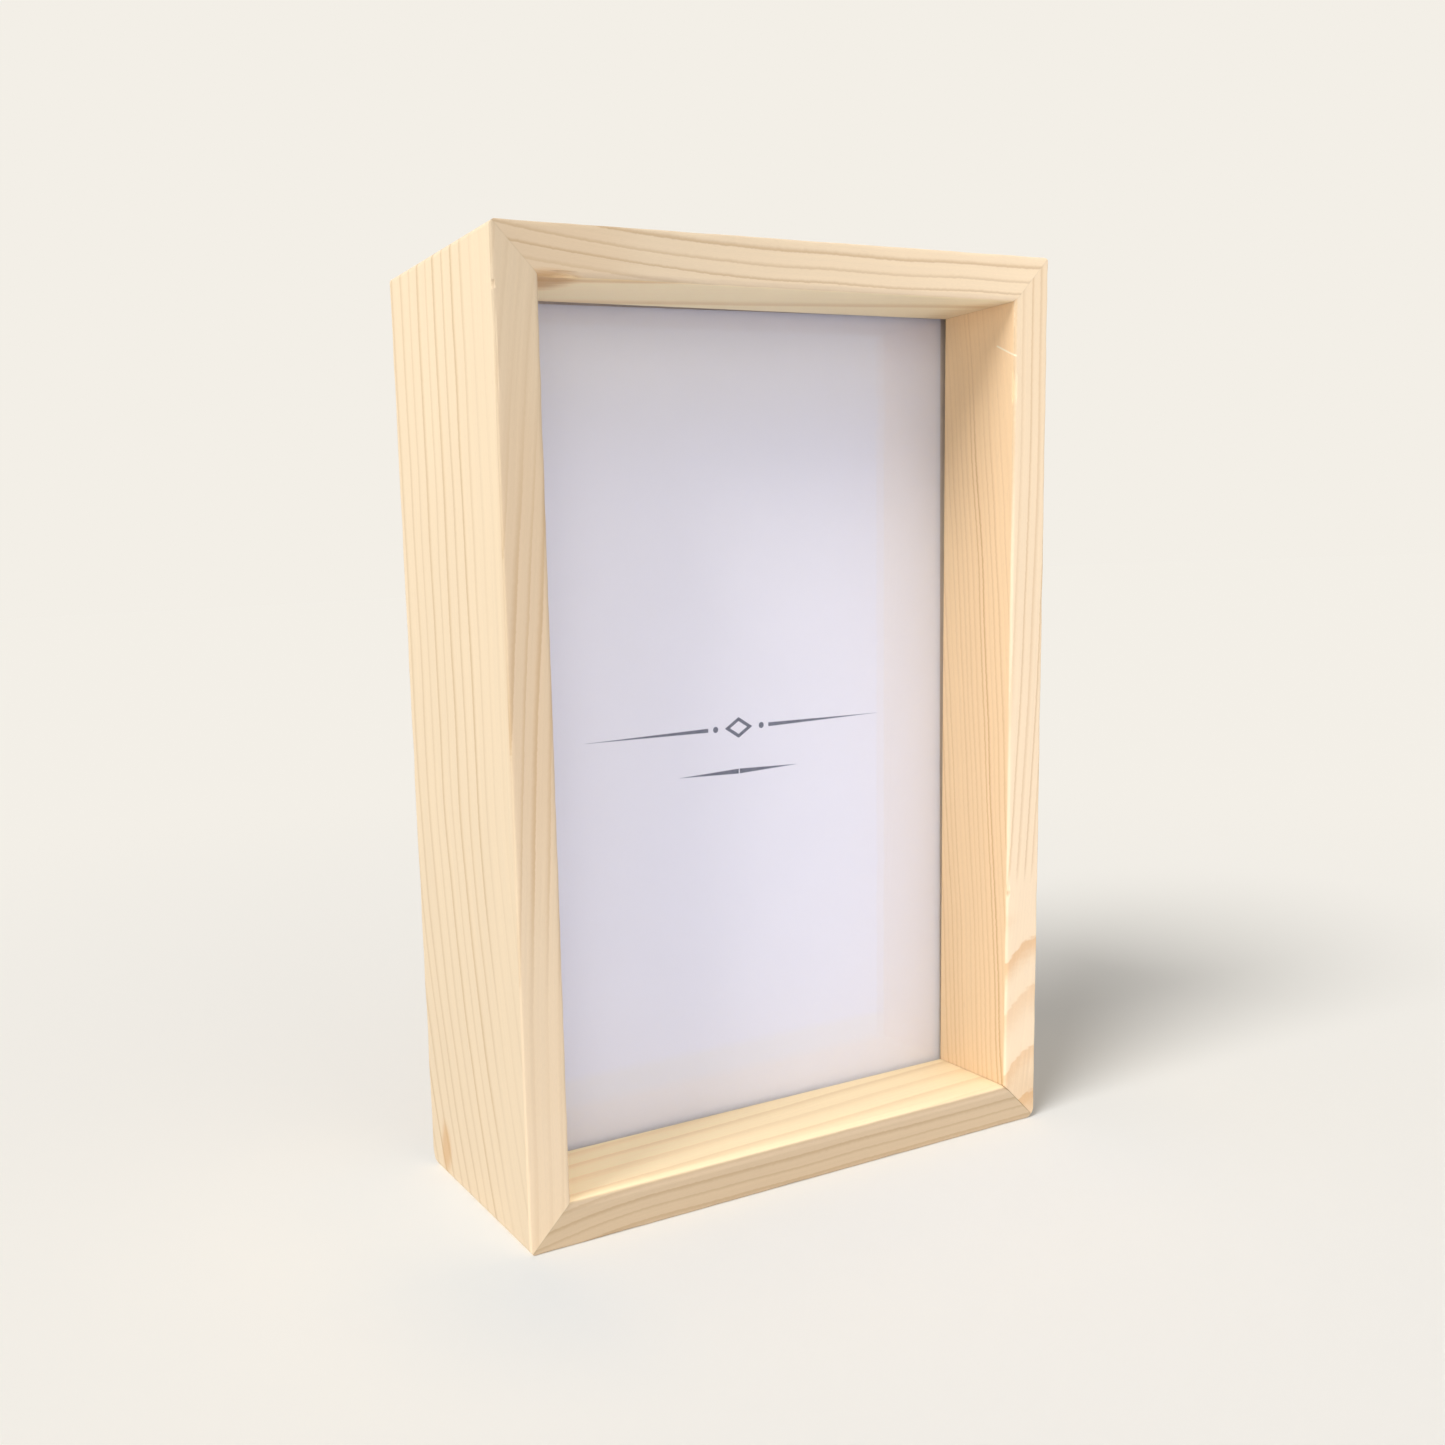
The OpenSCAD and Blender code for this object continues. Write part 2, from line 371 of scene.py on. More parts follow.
# All in millimetres: along the grain from the middle of the board, depth from the middle
# of the frame to the rear, and inward from the outer face of the board. A ring line runs
# where depth and inward, weighed by the tilt, and the lean and bends along the board give
# a whole number of gaps. A bend is where it starts, which way it goes on, and its curve.
# Lines are weaker past quiet, in depth, and past calm, along the board, and stronger in a
# cluster, given by its middle and half its width. Bands are broad arched rings, with their
# own dark wood colour, that take over below a place along the board.
# Soft is how much of a gap the dark wood takes up, uneven is how much its strength differs
# from ring to ring, and the slope is how the brightness changes along.
# The light and dark wood colours of each face hold painted light and shade besides the
# wood's own colour: each face is painted paler or darker by how light falls on it, and the
# inner faces of the top and bottom rails are painted paler. The slope is painted light and
# shade too: it lightens the left end of the bottom rail's inner face and the top of the right
# stile's inner face, which lie in shade, and darkens the top rail's inner face towards the
# right stile.
grains = {
    "left_stile": {
        "outer": {
            "early": srgb(228, 207, 176), "late": srgb(186, 154, 108), "slope": 0.0012,
            "tilt": (1.0, 0.25), "gap": 3.5, "start": 0.84, "lean": -0.015,
            "bends": [(0.0, -1, 0.0021)], "wander": 0.7, "soft": 0.36, "lines": 0.56,
            "quiet": (-7.0, -13.0),
        },
        "inner": {
            "early": srgb(240, 216, 180), "late": srgb(206, 172, 122), "slope": 0.0,
            "tilt": (1.0, 0.3), "gap": 3.1, "start": 0.4, "lean": 0.02,
            "bends": [(0.0, -1, 0.0012)], "wander": 0.8, "soft": 0.35, "lines": 0.7,
        },
        "front": {
            "early": srgb(222, 200, 170), "late": srgb(184, 148, 102), "slope": -0.0014,
            "tilt": (0.3, 1.0), "gap": 2.3, "start": 0.2, "lean": -0.019,
            "bends": [(-57.5, 1, -0.00042)], "wander": 0.5, "soft": 0.5, "lines": 0.5,
            "calm": [(-15.0, -45.0), (20.0, 60.0)],
        },
        "rear": {
            "early": srgb(232, 209, 175), "late": srgb(192, 158, 112), "slope": 0.0,
            "tilt": (0.3, 1.0), "gap": 1.7, "start": 0.6, "lean": 0.012,
            "bends": [(10.0, 1, 0.0003)], "wander": 0.5, "soft": 0.5, "lines": 0.6,
        },
        "knots": [
            {"at": (-74.5, 13.0, 0.0), "size": (6.5, 2.8, 3.0), "deep": 0.55},
            {"at": (20.0, -20.0, 4.0), "size": (55.0, 2.0, 9.0), "deep": 0.13},
        ],
    },
    "right_stile": {
        "outer": {
            "early": srgb(244, 220, 184), "late": srgb(210, 174, 122), "slope": 0.0,
            "tilt": (0.9, 0.4), "gap": 2.7, "start": 0.2, "lean": 0.02,
            "bends": [(-10.0, 1, 0.0014)], "wander": 1.0, "soft": 0.4, "lines": 0.6,
        },
        "inner": {
            "early": srgb(241, 208, 166), "late": srgb(198, 152, 99), "slope": 0.0012,
            "tilt": (1.0, 0.2), "gap": 1.15, "start": 0.3, "lean": -0.065,
            "bends": [(20.0, 1, -0.0004)], "wander": 0.8, "soft": 0.6, "lines": 0.36,
            "uneven": 0.9, "cluster": (-13.6, 1.8), "calm": [(40.0, 65.0)],
        },
        "front": {
            "early": srgb(246, 222, 190), "late": srgb(206, 168, 116), "slope": -0.0003,
            "tilt": (0.2, 1.0), "gap": 1.95, "start": 0.98, "lean": 0.0,
            "bends": [(60.0, -1, -0.00045)], "wander": 0.3, "soft": 0.45, "lines": 0.52,
            "bands": {
                "below": -34.0, "top": -41.0, "gap": 10.7, "start": 0.92, "arch": 0.085,
                "lines": 0.76, "late": srgb(226, 178, 124),
            },
        },
        "rear": {
            "early": srgb(240, 216, 182), "late": srgb(200, 166, 120), "slope": 0.0,
            "tilt": (0.3, 1.0), "gap": 1.5, "start": 0.1, "lean": -0.01,
            "bends": [(-20.0, -1, 0.0004)], "wander": 0.5, "soft": 0.45, "lines": 0.6,
        },
        "knots": [
            {"at": (-34.4, -20.0, 7.6), "size": (0.9, 0.6, 0.7), "deep": 0.7},
            # darker brown at the low end of the front
            {"at": (-80.0, -20.0, 3.0), "size": (15.0, 3.0, 10.0), "deep": 0.28},
        ],
        "splinters": [((63.0, -20.0), (65.3, -15.9))],   # along and depth of its two ends
    },
    "top_rail": {
        "outer": {
            "early": srgb(245, 222, 186), "late": srgb(200, 162, 108), "slope": 0.0,
            "tilt": (1.0, 0.6), "gap": 3.2, "start": 0.5, "lean": 0.02,
            "bends": [(0.0, -1, 0.0013)], "wander": 0.8, "soft": 0.3, "lines": 0.8,
        },
        "inner": {
            "early": srgb(255, 238, 202), "late": srgb(224, 188, 134), "slope": -0.0008,
            "tilt": (1.0, 0.2), "gap": 16.0, "start": 0.23, "lean": 0.13,
            "bends": [], "wander": 0.8, "soft": 0.25, "lines": 0.7,
        },
        "front": {
            "early": srgb(232, 210, 180), "late": srgb(178, 143, 98), "slope": 0.0033,
            "tilt": (0.25, 1.0), "gap": 2.2, "start": 0.24, "lean": 0.0,
            "bends": [(0.0, -1, 0.00133)], "wander": 0.45, "soft": 0.36, "lines": 0.5,
        },
        "rear": {
            "early": srgb(236, 212, 178), "late": srgb(194, 158, 112), "slope": 0.0,
            "tilt": (0.3, 1.0), "gap": 1.8, "start": 0.7, "lean": 0.015,
            "bends": [(0.0, 1, 0.0006)], "wander": 0.5, "soft": 0.4, "lines": 0.65,
        },
        "knots": [
            {"at": (-45.5, -17.0, 8.0), "size": (7.5, 9.0, 2.0), "deep": 0.68},
            # painted shade on the top rail's inner face, in the corner by the right stile
            {"at": (50.0, -8.0, 7.7), "size": (12.0, 16.0, 2.0), "deep": 0.3},
            {"at": (-46.0, -20.0, 4.0), "size": (20.0, 2.0, 9.0), "deep": 0.12},
        ],
    },
    "bottom_rail": {
        "outer": {
            "early": srgb(240, 216, 178), "late": srgb(205, 165, 112), "slope": 0.0,
            "tilt": (1.0, 0.5), "gap": 4.5, "start": 0.1, "lean": -0.02,
            "bends": [], "wander": 0.8, "soft": 0.4, "lines": 0.8,
        },
        "inner": {
            "early": srgb(255, 232, 191), "late": srgb(218, 178, 124), "slope": -0.0014,
            "tilt": (1.0, 0.3), "gap": 4.5, "start": 0.02, "lean": -0.0425,
            "bends": [], "wander": 0.6, "soft": 0.6, "lines": 0.34,
        },
        "front": {
            "early": srgb(206, 183, 152), "late": srgb(168, 137, 98), "slope": 0.0004,
            "tilt": (0.4, 1.0), "gap": 2.05, "start": 0.32, "lean": 0.0,
            "bends": [(-30.0, -1, 0.0036)], "wander": 0.4, "soft": 0.45, "lines": 0.46,
        },
        "rear": {
            "early": srgb(232, 208, 172), "late": srgb(190, 154, 108), "slope": 0.0,
            "tilt": (0.3, 1.0), "gap": 2.1, "start": 0.4, "lean": -0.02,
            "bends": [], "wander": 0.6, "soft": 0.45, "lines": 0.65,
        },
        "knots": [],
    },
}


def boardPoint(tree, board):  # along, depth and inward at a point of that board
    x, y, z = objectPoint(tree)
    return {
        "left_stile": lambda: (z - frameH / mm / 2, y, x + frameW / mm / 2),
        "right_stile": lambda: (z - frameH / mm / 2, y, frameW / mm / 2 - x),
        "top_rail": lambda: (x, y, frameH / mm - z),
        "bottom_rail": lambda: (x, y, z),
    }[board]()


def darkWood(tree, across, gap, start, soft, uneven):  # highest just before a ring ends
    look = pineLook
    phase = across / gap + start
    jitter = finishNoise(tree, pineNoise["jitter"], (phase, gap, start))
    phase = phase + jitter * look["ringJitter"]
    part = phase.do("FRACT")
    dark = part.fade(look["ringFull"] - soft, look["ringFull"]) * part.fade(*look["ringEnd"])
    strength = 1.0 - uneven + uneven * randomOf(tree, phase.do("FLOOR") + look["ringSeed"])
    return dark * dark * strength


def ringLines(tree, face, along, depth, inward):  # dark wood, and streaks along the fibre
    look = pineLook
    across = face["tilt"][0] * depth + face["tilt"][1] * inward + face["lean"] * along
    for begin, way, curve in face["bends"]:
        past = (way * (along - begin)).atLeast(0.0)
        across = across + curve * past * past
    seed = 10 * face["start"] + face["gap"]
    swing = finishNoise(tree, pineNoise["swing"], (along, across, seed))
    feather = finishNoise(tree, pineNoise["feather"], (along, across, seed))
    across = across + swing * (2 * face["wander"]) + feather * look["feather"]
    uneven = face.get("uneven", look["uneven"])
    dark = darkWood(tree, across, face["gap"], face["start"], face["soft"], uneven) * face["lines"]
    if "quiet" in face:
        dark = dark * (1.0 - look["quietLoss"] * depth.fade(*face["quiet"]))
    for calm in face.get("calm", []):
        dark = dark * (1.0 - look["calmLoss"] * along.fade(*calm))
    if "cluster" in face:
        middle, half = face["cluster"]
        within = (across - middle).size().fade(half, half * look["clusterCore"])
        dark = dark * (1.0 + look["clusterGain"] * within)
    if "bands" in face:
        bands = face["bands"]
        arched = along + bands["arch"] * inward * inward
        arched = arched + swing * look["bandSwing"] + feather * look["bandFeather"]
        low = darkWood(
            tree, arched, bands["gap"], bands["start"], look["bandSoft"], look["uneven"]
        ) * bands["lines"]
        ringsEnd, bandsBegin = look["bandBlend"]
        dark = dark * along.fade(bands["below"], bands["below"] + ringsEnd)
        dark = dark + low * along.fade(bands["top"] + bandsBegin, bands["top"])
    streak = finishNoise(tree, pineNoise["streak"], (along, across, depth + inward))
    return dark, streak


def pineFace(tree, face, along, depth, inward):  # colour, dark wood and streaks of one face
    dark, streak = ringLines(tree, face, along, depth, inward)
    # the brightness along the board, partly painted light and shade where shadows fall
    toneAndShade = grey(tree, 1.0 + face["slope"] * along)
    late = face["late"]
    if "bands" in face:
        bands = face["bands"]
        late = blendColour(tree, along.fade(bands["below"], bands["top"]), late, bands["late"])
    # the face's light and dark wood colours, with painted light and shade in them
    colour = blendColour(tree, dark, face["early"], late)
    return blendColour(tree, 1.0, colour, toneAndShade, "MULTIPLY"), dark, streak


def splinterLine(tree, ends, along, depth):  # a hairline from one end to the other
    (startAlong, startDepth), (endAlong, endDepth) = ends
    longWay, deepWay = endAlong - startAlong, endDepth - startDepth
    run = (along - startAlong) * longWay + (depth - startDepth) * deepWay
    run = run.do("DIVIDE", longWay ** 2 + deepWay ** 2, clamp=True)
    offLong = along - startAlong - run * longWay
    offDeep = depth - startDepth - run * deepWay
    rim, core = (pineLook["splinterHalf"] * part for part in pineLook["splinterFade"])
    return (offLong * offLong + offDeep * offDeep).root().fade(rim, core)


def pine(board):
    grain = grains[board]
    look = pineLook
    material, tree, shader = newMaterial("pine_" + board)
    along, depth, inward = point = boardPoint(tree, board)
    halfLength = (frameW if "rail" in board else frameH) / mm / 2
    colour, dark, streak = pineFace(tree, grain["outer"], *point)
    begin, full = look["faceFade"]
    faceMasks = {
        "inner": inward.fade(boardT / mm - begin, boardT / mm - full),
        "front": depth.fade(frontY / mm + begin, frontY / mm + full),
        "rear": depth.fade(rearY / mm - begin, rearY / mm - full),
    }
    for face, mask in faceMasks.items():
        faceColour, faceDark, faceStreak = pineFace(tree, grain[face], *point)
        colour = blendColour(tree, mask, colour, faceColour)
        dark = dark + mask * (faceDark - dark)
        streak = streak + mask * (faceStreak - streak)

    fleck = finishNoise(tree, pineNoise["fleck"], point)
    tint = finishNoise(tree, pineNoise["tint"], point, halfLength)
    fibre = finishNoise(tree, pineNoise["fibre"], point)
    part = look["shade"]
    shade = 1.0 + streak * part["streak"] + fibre * part["fibre"] + tint * part["tint"]
    shade = shade - fleck.fade(*look["fleckFade"]) * part["fleck"]
    joint = (halfLength - along.size()) - inward
    shade = shade * (1.0 - joint.fade(look["jointReach"], 0.0) * look["jointShade"])
    colour = blendColour(tree, 1.0, colour, grey(tree, shade), "MULTIPLY")
    # darker patches of the wood; one of them, in a corner of the top rail, is painted shade
    for knot in grain["knots"]:
        spots = zip(point, knot["at"], knot["size"])
        gaps = [(value - middle) / size for value, middle, size in spots]
        reach = (gaps[0] * gaps[0] + gaps[1] * gaps[1] + gaps[2] * gaps[2]).root()
        reach = reach + streak * look["knotRagged"]
        stain = reach.fade(*look["knotFade"]) * knot["deep"]
        colour = blendColour(tree, stain, colour, look["knot"])

    for ends in grain.get("splinters", []):
        line = splinterLine(tree, ends, along, depth) * faceMasks["inner"]
        colour = blendColour(tree, line * look["splinterShow"], colour, look["splinter"])

    tree.links.new(colour, shader.inputs["Base Color"])
    part = look["gloss"]
    rough = look["roughness"] + streak * part["streak"] - dark * part["dark"]
    plug(tree, rough, shader.inputs["Roughness"])
    shader.inputs["Specular IOR Level"].default_value = look["specular"]
    part = look["relief"]
    relief = streak * part["streak"] + fleck * part["fleck"] + dark * part["dark"]
    bump(tree, shader, relief, *look["bump"])
    return material


# boards, sawn with the outer face down, then turned into place

boards = {
    "eased": {                # sanded off the four long edges
        "frontOuter": 0.3 * mm, "frontInner": 0.7 * mm,
        "rearOuter": 0.6 * mm, "rearInner": 0.6 * mm,
    },
    "easedSteps": 4,
    "support": 0.2 * mm,      # strip beside an eased edge, so that the flats stay flat
    "cornerSteps": 5,
    "lipMore": 0.5 * mm,      # brings the lip close up to the glass
    "grooveW": 1.6 * mm,      # for the turn clips
    "grooveD": 2.0 * mm,
    "spare": 2.0 * mm,        # extra length at each end, for the mitre saw
    "slice": 1.5 * mm,
    "waver": 0.22 * mm,       # unevenness of the sanded edges
    "waverSize": 7.0 * mm,
    "waverDetail": 2,
    "waverMiddle": 0.7,       # more is taken off than left on
    "waverFree": 3.0 * mm,    # the edges are even this near to a mitre
    "chipCuts": (-0.5, -0.25, 0.0, 0.25, 0.5),   # in parts of a chip's length
    "nailHoleR": 1.15 * mm,
    "nailHoleDeep": 1.15 * mm,
    "nailHoleSides": 24,
    "sharp": 30,              # degrees, where the shading breaks
    "near": 0.01 * mm,        # how close counts as on an edge
    "nearEased": 0.05 * mm,
}

# edges that were sanded more or less than the rest
softEdges = {
    "bottom_rail": {"frontInner": 1.5 * mm},
    "right_stile": {"frontInner": 0.45 * mm},
}

# chips and rubbed stretches: the edge, where along the board's own X, how long and how deep
chips = {
    "left_stile": [
        ("frontOuter", -70.8 * mm, 1.3 * mm, 0.4 * mm),
        ("frontOuter", -61.0 * mm, 18.0 * mm, 0.12 * mm),
    ],
    "right_stile": [
        ("frontInner", 57.8 * mm, 6.0 * mm, 0.4 * mm),
        ("frontInner", -34.0 * mm, 3.0 * mm, 0.25 * mm),
    ],
    "top_rail": [
        ("frontInner", 43.0 * mm, 5.0 * mm, 0.3 * mm),
    ],
}

# flat cuts that round off the knocked corner, low at the back on the left
knockedCorner = {
    "boards": ("left_stile", "bottom_rail"),
    "cuts": [
        ((-frameW / 2, rearY, 2.8 * mm), (-0.35, 0.76, -0.55)),
        ((-frameW / 2, rearY, 4.2 * mm), (-0.20, 0.91, -0.36)),
        ((-frameW / 2, rearY - 3.2 * mm, 0), (-0.40, 0.42, -0.81)),
    ],
}

# each board: its length, where its outer face goes and how far it turns about the depth
boardPlaces = {
    "top_rail": (frameW, (0, 0, frameH), 180),
    "bottom_rail": (frameW, (0, 0, 0), 0),
    "left_stile": (frameH, (-frameW / 2, 0, frameH / 2), 90),
    "right_stile": (frameH, (frameW / 2, 0, frameH / 2), -90),
}

# sanded on the outer corners of the frame, at the low end and the high end of a board's own X
cornerRadii = {
    "top_rail": (1.2 * mm, 1.0 * mm),
    "bottom_rail": (1.2 * mm, 2.6 * mm),
    "left_stile": (1.0 * mm, 1.2 * mm),
    "right_stile": (2.6 * mm, 1.2 * mm),
}

# how far a mitre stands open on each board, at its low end and its high end
mitreGaps = {
    "top_rail": (0.01 * mm, 0.008 * mm),
    "bottom_rail": (0.01 * mm, 0.04 * mm),
    "left_stile": (0.008 * mm, 0.01 * mm),
    "right_stile": (0.04 * mm, 0.01 * mm),
}


def rabbetedStrip(board, length):
    longer = length + 2 * boards["spare"]
    lipEnd = lipY + boards["lipMore"]
    bpy.ops.object.select_all(action="DESELECT")
    bpy.ops.mesh.primitive_cube_add(size=1, location=(0, (frontY + rearY) / 2, wallT / 2))
    strip = bpy.context.object
    strip.name = board + "_board"
    strip.scale = (longer, frameD, wallT)
    bpy.ops.object.transform_apply(location=True, rotation=True, scale=True)
    edit(strip)
    saw((0, lipEnd, 0), (0, 1, 0))
    pick(strip, "FACE", lambda f: f.normal.z > 0.9 and f.calc_center_median().y < lipEnd)
    bpy.ops.mesh.extrude_region_move(TRANSFORM_OT_translate={"value": (0, 0, boardT - wallT)})
    for way in (-1, 1):
        saw((0, grooveY + way * boards["grooveW"] / 2, 0), (0, 1, 0))
    pick(strip, "FACE", lambda f: (
        f.normal.z > 0.9 and abs(f.calc_center_median().y - grooveY) < boards["grooveW"] / 2
    ))
    bpy.ops.mesh.extrude_region_move(TRANSFORM_OT_translate={"value": (0, 0, -boards["grooveD"])})
    bpy.ops.mesh.select_all(action="SELECT")
    bpy.ops.mesh.dissolve_limited(angle_limit=math.radians(1))
    return strip


def longEdges(board):  # where each long edge runs, which way it looks, and its easing
    places = {
        "frontOuter": (frontY, 0.0, -1, -1),
        "frontInner": (frontY, boardT, -1, 1),
        "rearOuter": (rearY, 0.0, 1, -1),
        "rearInner": (rearY, wallT, 1, 1),
    }
    eased = {**boards["eased"], **softEdges.get(board, {})}
    return {edge: (*place, eased[edge]) for edge, place in places.items()}


def easeLongEdges(strip, board):
    near = boards["near"]
    for y, z, _, _, eased in longEdges(board).values():
        pick(strip, "EDGE", lambda edge: all(
            abs(end.co.y - y) < near and abs(end.co.z - z) < near for end in edge.verts
        ))
        bpy.ops.mesh.bevel(
            offset=eased, segments=boards["easedSteps"], profile=0.5, affect="EDGES"
        )
    for y, z, wayY, wayZ, eased in longEdges(board).values():
        keep = eased + boards["support"]
        saw((0, y - wayY * keep, 0), (0, 1, 0))
        saw((0, 0, z - wayZ * keep), (0, 0, 1))


def mitreEnds(board, length):
    for way, gap, radius in zip((-1, 1), mitreGaps[board], cornerRadii[board]):
        saw((way * (length / 2 - gap), 0, 0), (way, 0, 1), takeOff=True)
        middle = Vector((way * (length / 2 - radius), 0, radius))
        for step in range(1, boards["cornerSteps"] + 1):
            angle = math.radians(45) * step / boards["cornerSteps"]
            out = Vector((way * math.sin(angle), 0, -math.cos(angle)))
            saw(middle + out * radius, out, takeOff=True)


def onEdge(point, edge):
    y, z, _, _, eased = edge
    reach = eased + boards["nearEased"]
    return abs(point.y - y) < reach and abs(point.z - z) < reach


def waverEdges(strip, board, length):
    edges = longEdges(board)
    group = strip.vertex_groups.new(name="easedEdges")
    for vertex in strip.data.vertices:
        if any(onEdge(vertex.co, edge) for edge in edges.values()):
            fromMitre = length / 2 - abs(vertex.co.x) - vertex.co.z
            share = min(1.0, max(0.0, fromMitre / boards["waverFree"]))
            group.add([vertex.index], share, "REPLACE")
    clouds = bpy.data.textures.new(strip.name + "_waver", "CLOUDS")
    clouds.noise_scale = boards["waverSize"]
    clouds.noise_depth = boards["waverDetail"]
    waver = strip.modifiers.new("waver", "DISPLACE")
    waver.texture = clouds
    waver.texture_coords = "LOCAL"
    waver.vertex_group = group.name
    waver.strength = boards["waver"]
    waver.mid_level = boards["waverMiddle"]
    applyModifier(strip, waver)


def chipEdges(strip, board):
    edges = longEdges(board)
    group = strip.vertex_groups.new(name="chips")
    deepest = max(deep for *_, deep in chips[board])
    for vertex in strip.data.vertices:
        for edge, at, long, deep in chips[board]:
            off = abs(vertex.co.x - at) / (long / 2)
            if off < 1 and onEdge(vertex.co, edges[edge]):
                group.add([vertex.index], (1 - off ** 2) * deep / deepest, "ADD")
    chip = strip.modifiers.new("chip", "DISPLACE")
    chip.vertex_group = group.name
    chip.strength = -deepest
    chip.mid_level = 0.0
    applyModifier(strip, chip)


def drillNailHoles(piece, board):
    surface = frameH if board == "top_rail" else 0.0
    heads = [v.co for v in nodes["corner_brads"].data.vertices if abs(v.co.z - surface) < 1 * mm]
    holes = []
    for wayX in (-1, 1):
        for wayY in (-1, 1):
            own = [head for head in heads if head.x * wayX > 0 and head.y * wayY > 0]
            x = (min(head.x for head in own) + max(head.x for head in own)) / 2
            y = (min(head.y for head in own) + max(head.y for head in own)) / 2
            bpy.ops.object.select_all(action="DESELECT")
            bpy.ops.mesh.primitive_cylinder_add(
                vertices=boards["nailHoleSides"], radius=boards["nailHoleR"],
                depth=2 * boards["nailHoleDeep"], location=(x, y, surface),
            )
            holes.append(bpy.context.object)
    for hole in holes:
        drill = piece.modifiers.new("drill", "BOOLEAN")
        drill.operation = "DIFFERENCE"
        drill.solver = "EXACT"
        drill.object = hole
        applyModifier(piece, drill)
        bpy.data.objects.remove(hole)


def makeBoard(board):
    length, place, turn = boardPlaces[board]
    strip = rabbetedStrip(board, length)
    easeLongEdges(strip, board)
    mitreEnds(board, length)
    count = int(length / boards["slice"])
    for step in range(1, count):
        saw((length * (step / count - 0.5), 0, 0), (1, 0, 0))
    for _, at, long, _ in chips.get(board, []):
        for part in boards["chipCuts"]:
            saw((at + part * long, 0, 0), (1, 0, 0))
    leave()
    waverEdges(strip, board, length)
    if board in chips:
        chipEdges(strip, board)
    strip.location = place
    strip.rotation_euler.y = math.radians(turn)
    work(strip)
    bpy.ops.object.transform_apply(location=True, rotation=True, scale=True)
    if board in knockedCorner["boards"]:
        edit(strip)
        for point, normal in knockedCorner["cuts"]:
            saw(point, normal, takeOff=True)
        leave()
    if "rail" in board:
        drillNailHoles(strip, board)
    work(strip)
    bpy.ops.object.shade_smooth_by_angle(angle=math.radians(boards["sharp"]))
    flats = strip.modifiers.new("flats", "WEIGHTED_NORMAL")   # they stay flat beside a chip
    flats.keep_sharp = True
    applyModifier(strip, flats)
    return strip


for board in boardPlaces:
    piece = makeBoard(board)
    rideFor(piece, board, pine(board))
    print("board", board, len(piece.data.polygons), "faces")


# glass, print and back

glassPane = {
    "arris": 0.3 * mm,     # ground off the edges
    "arrisSteps": 2,
    "airGap": 0.05 * mm,   # to the print behind it
    "tint": srgb(250, 253, 252),
    "ior": 1.5,
}


def makeGlass():
    low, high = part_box("glass_pane")
    high.y -= glassPane["airGap"]
    bpy.ops.object.select_all(action="DESELECT")
    bpy.ops.mesh.primitive_cube_add(size=1, location=(low + high) / 2)
    pane = bpy.context.object
    pane.name = "ground_glass_pane"
    pane.scale = high - low
    bpy.ops.object.transform_apply(location=True, rotation=True, scale=True)
    edit(pane)
    bpy.ops.mesh.select_all(action="SELECT")
    bpy.ops.mesh.bevel(offset=glassPane["arris"], segments=glassPane["arrisSteps"], affect="EDGES")
    leave()
    bpy.ops.object.shade_flat()
    return pane


def clearGlass():
    material, tree, shader = newMaterial("clear_glass")
    shader.inputs["Base Color"].default_value = glassPane["tint"]
    shader.inputs["Roughness"].default_value = 0.0
    shader.inputs["IOR"].default_value = glassPane["ior"]
    shader.inputs["Transmission Weight"].default_value = 1.0
    through = tree.nodes.new("ShaderNodeBsdfTransparent")
    rays = tree.nodes.new("ShaderNodeLightPath")
    mix = tree.nodes.new("ShaderNodeMixShader")
    tree.links.new(rays.outputs["Is Shadow Ray"], mix.inputs[0])
    tree.links.new(shader.outputs[0], mix.inputs[1])
    tree.links.new(through.outputs[0], mix.inputs[2])
    tree.links.new(mix.outputs[0], tree.nodes["Material Output"].inputs["Surface"])
    return material


# a rule that tapers to its ends, with a lozenge and dots, in the middle of the sheet
printedSheet = {
    "sheet": srgb(248, 238, 234),
    "ink": srgb(72, 70, 72),
    # the card ends just past the opening, so the backing board shows as a dark strip beside the
    # right and top lips: painted shade under the lips
    "spareSide": 0.4 * mm,     # how far it reaches past the opening
    "spareTop": 0.1 * mm,
    "spareBottom": 1.4 * mm,   # a loose card rests low in the groove
    "askew": 0.4,              # degrees
    "cornerR": 0.4 * mm,
    "cornerSteps": 3,
    "ruleHalf": 32.0,          # from here on in millimetres
    "ruleT": 0.45,
    "ruleBlur": 0.08,
    "ruleTip": 0.2,
    "lozenge": (3.0, 1.9),
    "lozengeOut": (1.04, 0.96),   # in parts of its size
    "lozengeIn": (0.58, 0.66),
    "lozengeRoom": 6.5,
    "dotR": 0.55,
    "dotBlur": 0.06,
    "dots": (-5.0, 5.0),
    "lowerRule": -8.0,         # a shorter rule this far below
    "lowerHalf": 13.0,
    "inkShow": 0.92,
    "inkPulp": 0.3,            # how much the paper breaks up the ink
    "pulp": ((2.0, 1.0, 2.0), 4.0, 0.6),
    "pulpShade": 0.03,
    "cloud": ((0.12, 1.0, 0.12), 2.0, 0.5),
    "cloudShade": 0.02,
    "roughness": 0.75,
    "specular": 0.2,
    "bump": (0.1, 0.05 * mm),
}


def makePrint():
    low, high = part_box("print_sheet")
    # cut to end just past the opening: the backing board beside it shows as painted shade under
    # the lips
    high.x = cadHigh.x - boardT + printedSheet["spareSide"]
    low.x = -high.x
    low.z = boardT - printedSheet["spareBottom"]
    high.z = cadHigh.z - boardT + printedSheet["spareTop"]
    bpy.ops.object.select_all(action="DESELECT")
    bpy.ops.mesh.primitive_cube_add(size=1, location=(low + high) / 2)
    card = bpy.context.object
    card.name = "cut_print_sheet"
    card.scale = high - low
    card.rotation_euler.y = math.radians(-printedSheet["askew"])
    bpy.ops.object.transform_apply(location=True, rotation=True, scale=True)
    edit(card)
    pick(card, "EDGE", lambda edge: abs(edge.verts[0].co.y - edge.verts[1].co.y) > 0.1 * mm)
    bpy.ops.mesh.bevel(
        offset=printedSheet["cornerR"], segments=printedSheet["cornerSteps"], affect="EDGES"
    )
    leave()
    bpy.ops.object.shade_flat()
    return card


